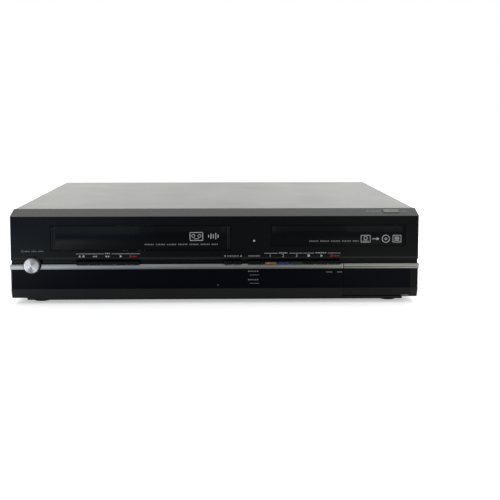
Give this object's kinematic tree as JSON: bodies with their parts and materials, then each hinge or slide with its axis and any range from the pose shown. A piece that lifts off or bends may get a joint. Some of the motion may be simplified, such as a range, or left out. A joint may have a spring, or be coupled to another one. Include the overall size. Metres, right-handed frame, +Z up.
{
  "type": "disc and tape recorder deck",
  "caption": "Low front-loading recorder deck with a cassette door, a disc tray, a row of push keys under a silver trim line and a drop-down jack flap.",
  "frame": {"origin": "on the floor plane, under the middle of the bounding box", "axes": "front faces -Y, +X to the viewer's right, +Z up"},
  "size_m": [0.43, 0.36, 0.1],
  "materials": {
    "black_moulding": "satin black moulding",
    "smoked_window": "polished smoked panel",
    "silver_trim": "brushed and lacquered",
    "turned_metal": "turned face",
    "lamp_lens": "clear light pipe",
    "painted_steel": "black powder coat",
    "plated_steel": "zinc plated",
    "rear_steel": "black paint",
    "foot_rubber": "matt",
    "black_screw": "blackened",
    "key_black": "satin",
    "key_silver": "silver paint",
    "key_orange": "satin",
    "key_blue": "satin",
    "key_green": "satin",
    "socket_black": "moulded",
    "display_glass": "smoked glass",
    "board_brown": "paper board",
    "board_green": "glass board",
    "transformer_core": "varnished",
    "cast_metal": "cast",
    "jack_metal": "plated",
    "fan_plastic": "moulded",
    "guard_wire": "painted",
    "drive_plastic": "moulded",
    "tray_plastic": "moulded",
    "white_plastic": "moulded",
    "drum_metal": "turned",
    "shaft_steel": "ground"
  },
  "bodies": {
    "root": {"front_bezel": "black_moulding", "trim_strip": "silver_trim", "display_window": "smoked_window", "power_ring": "black_moulding", "status_lamp": "lamp_lens", "top_cover": "painted_steel", "bottom_chassis": "plated_steel", "rear_panel": "rear_steel", "feet": "foot_rubber", "cover_screws": "black_screw", "front_jacks": "socket_black", "display_module": "display_glass", "key_board": "board_brown", "main_board": "board_green", "power_board": "board_brown", "power_transformer": "transformer_core", "hard_drive": "cast_metal", "mains_inlet": "socket_black", "scart_sockets": "socket_black", "av_jacks": "jack_metal", "hdmi_socket": "plated_steel", "tuner_module": "plated_steel", "fan_frame": "fan_plastic", "fan_guard": "guard_wire", "drive_frame": "drive_plastic", "clamp_bridge": "plated_steel", "deck_plate": "plated_steel", "drum_base": "drum_metal"},
    "cassette_door": {"cassette_door": "black_moulding"},
    "jack_flap": {"jack_flap": "black_moulding"},
    "power_button": {"power_button": "turned_metal"},
    "program_rocker": {"program_rocker": "key_black"},
    "open_close_key": {"open_close_key": "key_silver"},
    "fan_rotor": {"fan_rotor": "fan_plastic"},
    "disc_clamper": {"disc_clamper": "white_plastic"},
    "traverse_plate": {"traverse_plate": "plated_steel"},
    "turntable": {"turntable": "white_plastic"},
    "pickup_sled": {"pickup_sled": "cast_metal"},
    "tray_gear": {"tray_gear": "white_plastic"},
    "drum_rotor": {"drum_rotor": "drum_metal"},
    "capstan": {"capstan": "shaft_steel"},
    "pinch_arm": {"pinch_arm": "plated_steel"},
    "supply_reel": {"supply_reel": "white_plastic"},
    "take_up_reel": {"take_up_reel": "white_plastic"},
    "carriage_slider": {"carriage_slider": "plated_steel"},
    "cassette_basket": {"cassette_basket": "drive_plastic"},
    "deck_key_eject": {"deck_key_eject": "key_black"},
    "deck_key_rewind": {"deck_key_rewind": "key_black"},
    "deck_key_forward": {"deck_key_forward": "key_black"},
    "deck_key_play": {"deck_key_play": "key_black"},
    "deck_key_record": {"deck_key_record": "key_black"},
    "dubbing_key": {"dubbing_key": "key_black"},
    "select_key_tape": {"select_key_tape": "key_orange"},
    "select_key_hard_disk": {"select_key_hard_disk": "key_blue"},
    "select_key_disc": {"select_key_disc": "key_green"},
    "disc_key_stop": {"disc_key_stop": "key_black"},
    "disc_key_play": {"disc_key_play": "key_black"},
    "disc_key_record": {"disc_key_record": "key_black"},
    "disc_tray": {"disc_tray": "tray_plastic", "tray_front": "black_moulding"}
  },
  "joints": [
    {"name": "power_button_slide", "type": "slide", "parent": "root", "child": "power_button", "axis": [0, 1, 0], "range_m": [0, 0.0012], "stiffness_N_per_m": 400},
    {"name": "deck_key_eject_slide", "type": "slide", "parent": "root", "child": "deck_key_eject", "axis": [0, 1, 0], "range_m": [0, 0.0008], "stiffness_N_per_m": 400},
    {"name": "deck_key_rewind_slide", "type": "slide", "parent": "root", "child": "deck_key_rewind", "axis": [0, 1, 0], "range_m": [0, 0.0008], "stiffness_N_per_m": 400},
    {"name": "deck_key_forward_slide", "type": "slide", "parent": "root", "child": "deck_key_forward", "axis": [0, 1, 0], "range_m": [0, 0.0008], "stiffness_N_per_m": 400},
    {"name": "deck_key_play_slide", "type": "slide", "parent": "root", "child": "deck_key_play", "axis": [0, 1, 0], "range_m": [0, 0.0008], "stiffness_N_per_m": 400},
    {"name": "deck_key_record_slide", "type": "slide", "parent": "root", "child": "deck_key_record", "axis": [0, 1, 0], "range_m": [0, 0.0008], "stiffness_N_per_m": 400},
    {"name": "dubbing_key_slide", "type": "slide", "parent": "root", "child": "dubbing_key", "axis": [0, 1, 0], "range_m": [0, 0.0008], "stiffness_N_per_m": 400},
    {"name": "select_key_tape_slide", "type": "slide", "parent": "root", "child": "select_key_tape", "axis": [0, 1, 0], "range_m": [0, 0.0008], "stiffness_N_per_m": 400},
    {"name": "select_key_hard_disk_slide", "type": "slide", "parent": "root", "child": "select_key_hard_disk", "axis": [0, 1, 0], "range_m": [0, 0.0008], "stiffness_N_per_m": 400},
    {"name": "select_key_disc_slide", "type": "slide", "parent": "root", "child": "select_key_disc", "axis": [0, 1, 0], "range_m": [0, 0.0008], "stiffness_N_per_m": 400},
    {"name": "disc_key_stop_slide", "type": "slide", "parent": "root", "child": "disc_key_stop", "axis": [0, 1, 0], "range_m": [0, 0.0008], "stiffness_N_per_m": 400},
    {"name": "disc_key_play_slide", "type": "slide", "parent": "root", "child": "disc_key_play", "axis": [0, 1, 0], "range_m": [0, 0.0008], "stiffness_N_per_m": 400},
    {"name": "disc_key_record_slide", "type": "slide", "parent": "root", "child": "disc_key_record", "axis": [0, 1, 0], "range_m": [0, 0.0008], "stiffness_N_per_m": 400},
    {"name": "program_rocker_turn", "type": "hinge", "parent": "root", "child": "program_rocker", "pos_m": [0.0183, -0.1709, 0.04495], "axis": [0, 0, 1], "range_deg": [-3, 3], "stiffness_Nm_per_rad": 0.03},
    {"name": "open_close_key_slide", "type": "slide", "parent": "root", "child": "open_close_key", "axis": [0, 0.3863, -0.9224], "range_m": [0, 0.0006], "stiffness_N_per_m": 400},
    {"name": "cassette_door_turn", "type": "hinge", "parent": "root", "child": "cassette_door", "pos_m": [-0.0782, -0.169, 0.0881], "axis": [1, 0, 0], "range_deg": [0, 80], "stiffness_Nm_per_rad": 0.01},
    {"name": "jack_flap_turn", "type": "hinge", "parent": "root", "child": "jack_flap", "pos_m": [0.1705, -0.1694, 0.0092], "axis": [1, 0, 0], "range_deg": [0, 90]},
    {"name": "disc_tray_slide", "type": "slide", "parent": "root", "child": "disc_tray", "axis": [0, -1, 0], "range_m": [0, 0.138]},
    {"name": "tray_gear_turn", "type": "hinge", "parent": "root", "child": "tray_gear", "pos_m": [0.0904, -0.146, 0.06], "axis": [0, 0, 1], "continuous": true},
    {"name": "traverse_plate_turn", "type": "hinge", "parent": "root", "child": "traverse_plate", "pos_m": [0.1294, -0.009, 0.051], "axis": [1, 0, 0], "range_deg": [0, 5]},
    {"name": "turntable_turn", "type": "hinge", "parent": "traverse_plate", "child": "turntable", "pos_m": [0.1294, -0.096, 0.06], "axis": [0, 0, 1], "continuous": true},
    {"name": "pickup_sled_slide", "type": "slide", "parent": "traverse_plate", "child": "pickup_sled", "axis": [0, 1, 0], "range_m": [0, 0.032]},
    {"name": "disc_clamper_turn", "type": "hinge", "parent": "root", "child": "disc_clamper", "pos_m": [0.1294, -0.096, 0.076], "axis": [0, 0, 1], "continuous": true},
    {"name": "carriage_slider_slide", "type": "slide", "parent": "root", "child": "carriage_slider", "axis": [0, 1, 0], "range_m": [0, 0.06]},
    {"name": "cassette_basket_slide", "type": "slide", "parent": "carriage_slider", "child": "cassette_basket", "axis": [0, 0, -1], "range_m": [0, 0.02]},
    {"name": "supply_reel_turn", "type": "hinge", "parent": "root", "child": "supply_reel", "pos_m": [-0.1242, -0.077, 0.035], "axis": [0, 0, 1], "continuous": true},
    {"name": "take_up_reel_turn", "type": "hinge", "parent": "root", "child": "take_up_reel", "pos_m": [-0.0322, -0.077, 0.035], "axis": [0, 0, 1], "continuous": true},
    {"name": "drum_rotor_turn", "type": "hinge", "parent": "root", "child": "drum_rotor", "pos_m": [-0.0782, 0.015, 0.05], "axis": [0, 0, 1], "continuous": true},
    {"name": "capstan_turn", "type": "hinge", "parent": "root", "child": "capstan", "pos_m": [-0.0202, -0.009, 0.035], "axis": [0, 0, 1], "continuous": true},
    {"name": "pinch_arm_turn", "type": "hinge", "parent": "root", "child": "pinch_arm", "pos_m": [0.0038, 0.002, 0.037], "axis": [0, 0, 1], "range_deg": [0, 22]},
    {"name": "fan_rotor_turn", "type": "hinge", "parent": "root", "child": "fan_rotor", "pos_m": [-0.118, 0.161, 0.054], "axis": [0, 1, 0], "continuous": true}
  ],
  "couplings": [
    {"joint": "tray_gear_turn", "follows": "disc_tray_slide", "rad_per_m": 100}
  ]
}
